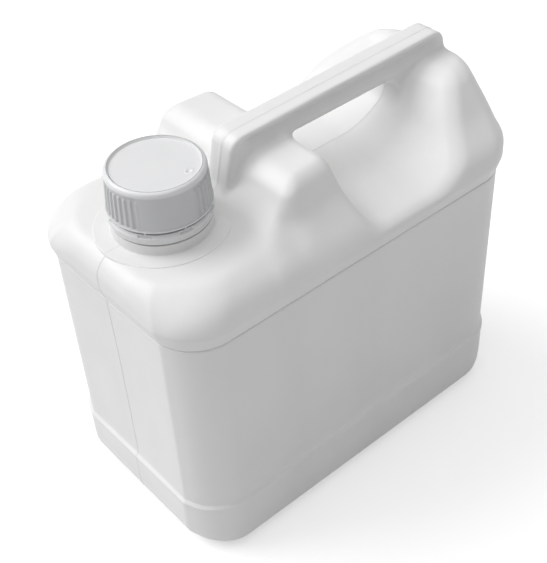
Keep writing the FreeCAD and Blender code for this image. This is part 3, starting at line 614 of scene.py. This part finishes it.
def makeBand():
    # one closed profile turned about the neck's axis: up the outside and the bevel, over the top, and down the
    # inside round the retaining lip; notches swap the bevel for a step, and each holds a broken bridge
    b = band
    outer = roundedLine([(b["inside"] + 0.1, b["bottom"], 0), (b["outside"], b["bottom"], 0.35),
                         (b["bevel"], b["bevelFoot"] - 0.25, 0)], 5)
    share = np.linspace(0, 1, 9)[:, None]
    inset = b["shoulder"] - b["bevel"]
    climb = b["top"] - b["bevelFoot"]
    bevel = np.concatenate([b["bevel"] + inset * share, b["bevelFoot"] + climb * share], axis=-1)
    cut = np.concatenate([np.maximum(b["bevel"] + inset * share * 2, b["shoulder"]),
                          b["bevelFoot"] + climb * np.maximum(share * 2 - 1, 0)], axis=-1)
    inner = roundedLine([(b["shoulder"] - 0.1, b["top"] + 0.01, 0), (b["inside"], b["top"], 0.1),
                         (b["inside"], b["lipTop"], 0.2), (b["lip"], b["lipTop"], 0.2),
                         (b["lip"], b["bottom"] + 0.6, 0.2), (b["inside"], b["bottom"], 0)], 4)
    outer = evenly(outer, 0.8)
    inner = evenly(inner, 0.8)
    plain = np.concatenate([outer, bevel, inner])[:, None, :]
    notched = np.concatenate([outer, cut, inner])[:, None, :]
    angle = np.linspace(0, 2 * math.pi, b["columns"], endpoint=False)
    step = 360 / b["notches"]
    off = np.abs((np.degrees(angle) - b["notchAt"] + step / 2) % step - step / 2)
    notch = upTo(off, b["notchWidth"] / 2, b["soft"])[None, :, None]
    bridge = upTo(off, b["bridgeWidth"] / 2, b["soft"])[None, :]
    profile = plain + (notched - plain) * notch
    radius = profile[..., 0]
    height = profile[..., 1] + b["bridgeHeight"] * bridge * (profile[..., 1] > b["top"] - 0.05)
    points = around(radius, angle[None, :], height, neckPlace)
    piece = makeMesh("bandRing", points.reshape(-1, 3), gridFaces(*points.shape[:2], joined=True))
    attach(piece, "tank")
    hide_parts("tamper_band")
    print("tamper band:", len(piece.data.polygons), "faces")


for make in (makeTank, makeNeck, makeCap, makeBand):
    make()


# materials

class Wire:
    # one output of a node: sums, differences and products of wires add Math nodes
    def __init__(self, finish, socket):
        self.finish = finish
        self.socket = socket

    def __add__(self, other):
        return self.finish.sums("ADD", self, other)

    def __sub__(self, other):
        return self.finish.sums("SUBTRACT", self, other)

    def __rsub__(self, other):
        return self.finish.sums("SUBTRACT", other, self)

    def __mul__(self, other):
        return self.finish.sums("MULTIPLY", self, other)

    __radd__ = __add__
    __rmul__ = __mul__


class Finish:
    # one material, and what its nodes are made with
    def __init__(self, owner, shader="Principled BSDF"):
        self.owner = owner
        owner.use_nodes = True
        self.tree = owner.node_tree
        self.shader = self.tree.nodes[shader]

    def node(self, kind, settings, inputs, output=0):
        # settings go on the node first, then a value or a wire on each of its sockets
        made = self.tree.nodes.new(kind)
        for name, value in settings.items():
            setattr(made, name, value)
        for name, value in inputs.items():
            self.put(made, name, value)
        return Wire(self, made.outputs[output])

    def put(self, made, name, value):
        # a socket is found by its identifier, or else by its name
        found = [socket for socket in made.inputs if socket.identifier == name]
        socket = found[0] if found else made.inputs[name]
        if isinstance(value, Wire):
            self.tree.links.new(value.socket, socket)
        else:
            socket.default_value = value

    def sums(self, operation, first, second, clamp=False):
        return self.node("ShaderNodeMath", {"operation": operation, "use_clamp": clamp},
                         {"Value": first, "Value_001": second})

    def between(self, value, low, high):
        # nought under low, one over high, smooth between them
        return self.node("ShaderNodeMapRange", {"interpolation_type": "SMOOTHSTEP"},
                         {"Value": value, "From Min": low, "From Max": high, "To Min": 0.0, "To Max": 1.0})

    def noise(self, where, scale, detail=2.0, rough=0.5):
        return self.node("ShaderNodeTexNoise", {},
                         {"Vector": where, "Scale": scale, "Detail": detail, "Roughness": rough})

    def blend(self, share, first, second):
        return self.node("ShaderNodeMix", {"data_type": "RGBA"},
                         {"Factor_Float": share, "A_Color": first, "B_Color": second}, 2)

    def bump(self, height, distance, under=None):
        # raised and lowered by the height, on top of another bump if there is one
        inputs = {"Height": height, "Distance": distance, "Strength": 1.0}
        if under:
            inputs["Normal"] = under
        return self.node("ShaderNodeBump", {}, inputs)

    def place(self):
        return self.node("ShaderNodeTexCoord", {}, {}, "Object")

    def parts(self, vector):
        split = self.node("ShaderNodeSeparateXYZ", {}, {"Vector": vector}).socket.node
        return [Wire(self, output) for output in split.outputs]

    def stretched(self, where, scale, turn=(0, 0, 0)):
        return self.node("ShaderNodeMapping", {}, {"Vector": where, "Scale": scale, "Rotation": turn})


# heights, sizes and depths are in metres here, and scales count per metre
plastic = {
    "tank": {"colour": (0.83, 0.83, 0.825, 1), "deep": (0.77, 0.775, 0.775, 1),
             "roughness": 0.40, "grain": 0.00006, "seam": (0.45, 0.45, 0.45, 1)},
    "cap": {"colour": (0.79, 0.795, 0.80, 1), "deep": (0.71, 0.715, 0.725, 1),
            "roughness": 0.30, "grain": 0.00003,
            # the skirt colour is painted shade for the cap's sides, laid between the two heights that follow it
            "skirt": (0.60, 0.605, 0.615, 1), "skirtShadeTop": 0.2145, "skirtShadeFoot": 0.1959},
    "band": {"colour": (0.79, 0.795, 0.80, 1), "deep": (0.73, 0.735, 0.745, 1),
             "roughness": 0.32, "grain": 0.00003},
    "mottle": 26, "streaks": (55, 55, 2.5), "cloud": (0.35, 0.7),
    "rubs": (60, 60, 900), "rubTurn": (0.5, 0.3, 0.9), "rubEdge": (0.66, 0.74),
    "specks": 95.0, "speckEdge": (0.022, 0.05), "speckPatch": (0.5, 0.6),
    "grainScale": 1500.0, "waveScale": 38.0, "waves": 0.00035,
    "seamEdge": (0.000175, 0.000625), "seamWider": 0.00025, "seamRise": (0.182, 0.188), "seamTone": 0.36,
}


def moulded(name, look):
    # satin polyethylene: slow changes of tone, fine mould grain, faint rubs and specks, the mould's parting
    # line on the tank, and painted shade on the cap's skirt
    p = plastic
    finish = Finish(bpy.data.materials.new(name))
    where = finish.place()
    across, height = finish.parts(where)[1:]
    tone = finish.noise(where, p["mottle"], 3.0, 0.6)
    streaks = finish.noise(finish.stretched(where, p["streaks"]), 1.0)
    cloud = finish.between(tone * 0.6 + streaks * 0.4, *p["cloud"])
    rubs = finish.noise(finish.stretched(where, p["rubs"], p["rubTurn"]), 1.0, 4.0, 0.6)
    rub = finish.between(rubs, *p["rubEdge"])
    cells = finish.node("ShaderNodeTexVoronoi", {}, {"Vector": where, "Scale": p["specks"], "Randomness": 1.0})
    speck = (1 - finish.between(cells, *p["speckEdge"])) * finish.between(tone, *p["speckPatch"])
    dull = finish.sums("MINIMUM", cloud * 0.35 + rub * 0.25 + speck * 0.6, 1.0)
    grain = finish.noise(where, p["grainScale"], 2.0, 0.6)
    waves = finish.noise(where, p["waveScale"], 1.0, 0.4)
    surface = finish.bump(waves, p["waves"])
    surface = finish.bump(grain, look["grain"], surface)
    colour = finish.blend(dull, look["colour"], look["deep"])
    if "skirt" in look:
        # painted shade: the skirt below the shoulder is given a darker grey than the disc, standing in for the
        # shade its sides are in
        above = finish.between(height, look["skirtShadeTop"] - 0.0012, look["skirtShadeTop"])
        below = 1 - finish.between(height, look["skirtShadeFoot"] - 0.0002, look["skirtShadeFoot"] + 0.0001)
        colour = finish.blend(1 - above - below, colour, look["skirt"])
    if "seam" in look:
        # both edges of the parting line's ridge hold a little shade
        off = finish.sums("ABSOLUTE", across, 0.0) - finish.between(height, *p["seamRise"]) * p["seamWider"]
        ridge = 1 - finish.between(off, *p["seamEdge"])
        edge = ridge * (1 - ridge) * 4
        colour = finish.blend(edge * p["seamTone"], colour, look["seam"])
    finish.put(finish.shader, "Base Color", colour)
    finish.put(finish.shader, "Roughness", look["roughness"] + cloud * 0.07 + rub * 0.08 + (grain - 0.5) * 0.1)
    finish.put(finish.shader, "Normal", surface)
    finish.shader.inputs["IOR"].default_value = 1.5
    return finish.owner


pressedFoam = {"colour": (0.82, 0.81, 0.77, 1), "deep": (0.72, 0.70, 0.65, 1), "roughness": 0.75,
               "cells": 1800.0, "smooth": 0.6, "toneScale": 120.0, "depth": 0.00012}


def foam(name, look):
    # pressed foam of the sealing disc: small closed cells and a slight cream tone
    finish = Finish(bpy.data.materials.new(name))
    where = finish.place()
    cells = finish.node("ShaderNodeTexVoronoi", {"feature": "SMOOTH_F1"},
                        {"Vector": where, "Scale": look["cells"], "Smoothness": look["smooth"]})
    tone = finish.noise(where, look["toneScale"], 3.0, 0.6)
    colour = finish.blend(tone * 0.6 + cells * 0.4, look["colour"], look["deep"])
    finish.put(finish.shader, "Base Color", colour)
    finish.put(finish.shader, "Roughness", look["roughness"] + tone * 0.15)
    finish.put(finish.shader, "Normal", finish.bump(cells, look["depth"]))
    return finish.owner


tankFinish = moulded("tankPolyethylene", plastic["tank"])
capFinish = moulded("capPolyethylene", plastic["cap"])
bandFinish = moulded("bandPolyethylene", plastic["band"])
for pieceName, finish in (("jugShell", tankFinish), ("neckFinish", tankFinish),
                          ("capShell", capFinish), ("bandRing", bandFinish)):
    bpy.data.objects[pieceName].data.materials.append(finish)
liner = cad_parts["sealing_liner"]
liner.data.materials.clear()
liner.data.materials.append(foam("linerFoam", pressedFoam))
print("materials ready")


# floor, light and camera

stage = {
    "floorReach": 6, "floorColour": (0.68, 0.68, 0.68, 1), "floorRoughness": 0.9, "floorShine": 0.1,
    "floorGlow": 0.46, "worldStrength": 0.26,
    # for each sun, its name, where its light comes from, its strength and its width in degrees
    "lamps": [("above", (-0.1, 0.02, 1.0), 1.3, 80), ("behind", (-0.45, 0.6, 0.66), 1.75, 45)],
}

reach = stage["floorReach"]
floorMesh = bpy.data.meshes.new("floor")
floorMesh.from_pydata([(-reach, -reach, 0), (reach, -reach, 0), (reach, reach, 0), (-reach, reach, 0)],
                      [], [(0, 1, 2, 3)])
floor = bpy.data.objects.new("floor", floorMesh)
bpy.context.scene.collection.objects.link(floor)
paper = Finish(bpy.data.materials.new("paleFloor"))
floorMesh.materials.append(paper.owner)
paper.shader.inputs["Base Color"].default_value = stage["floorColour"]
paper.shader.inputs["Roughness"].default_value = stage["floorRoughness"]
paper.shader.inputs["Specular IOR Level"].default_value = stage["floorShine"]


def eitherRay(finish, first, second):
    # one for rays of either kind, nought for the rest
    path = finish.node("ShaderNodeLightPath", {}, {}).socket.node
    return finish.sums("ADD", Wire(finish, path.outputs[first]), Wire(finish, path.outputs[second]), True)


# rays to the camera and reflections see the lit floor with some plain white added
glow = eitherRay(paper, "Is Camera Ray", "Is Glossy Ray") * stage["floorGlow"]
white = paper.node("ShaderNodeEmission", {}, {"Color": (1, 1, 1, 1), "Strength": glow})
mixed = paper.node("ShaderNodeAddShader", {},
                   {"Shader": Wire(paper, paper.shader.outputs["BSDF"]), "Shader_001": white})
paper.tree.links.new(mixed.socket, paper.tree.nodes["Material Output"].inputs["Surface"])

# the world is full white to the camera and through clear things, and lights the rest by its strength
world = bpy.data.worlds.new("studio")
bpy.context.scene.world = world
sky = Finish(world, "Background")
sky.shader.inputs["Color"].default_value = (1, 1, 1, 1)
seen = eitherRay(sky, "Is Camera Ray", "Is Transmission Ray")
sky.put(sky.shader, "Strength", seen * (1 - stage["worldStrength"]) + stage["worldStrength"])

for lampName, source, strength, width in stage["lamps"]:
    sun = bpy.data.lights.new(lampName, "SUN")
    sun.energy = strength
    sun.angle = math.radians(width)
    lamp = bpy.data.objects.new(lampName, sun)
    lamp.rotation_mode = "QUATERNION"
    lamp.rotation_quaternion = Vector(source).to_track_quat("Z", "Y")
    bpy.context.scene.collection.objects.link(lamp)

# angles in degrees, place in metres
camera = {"azimuth": -38.5, "elevation": 41.45, "roll": -3.47,
          "place": (-0.3051, -0.3717, 0.5215), "lens": 72.386}
azimuth = math.radians(camera["azimuth"])
elevation = math.radians(camera["elevation"])
roll = math.radians(camera["roll"])
back = Vector((math.sin(azimuth) * math.cos(elevation), -math.cos(azimuth) * math.cos(elevation),
               math.sin(elevation)))
level = Vector((0, 0, 1)).cross(back).normalized()
upright = back.cross(level)
right = level * math.cos(roll) + upright * math.sin(roll)
up = upright * math.cos(roll) - level * math.sin(roll)
cameraData = bpy.data.cameras.new("camera")
cameraData.lens = camera["lens"]
cameraObject = bpy.data.objects.new("camera", cameraData)
cameraObject.rotation_mode = "QUATERNION"
cameraObject.rotation_quaternion = Matrix((right, up, back)).transposed().to_quaternion()
cameraObject.location = camera["place"]
bpy.context.scene.collection.objects.link(cameraObject)
bpy.context.scene.camera = cameraObject
bpy.context.scene.view_settings.view_transform = "Standard"
print("stage ready")
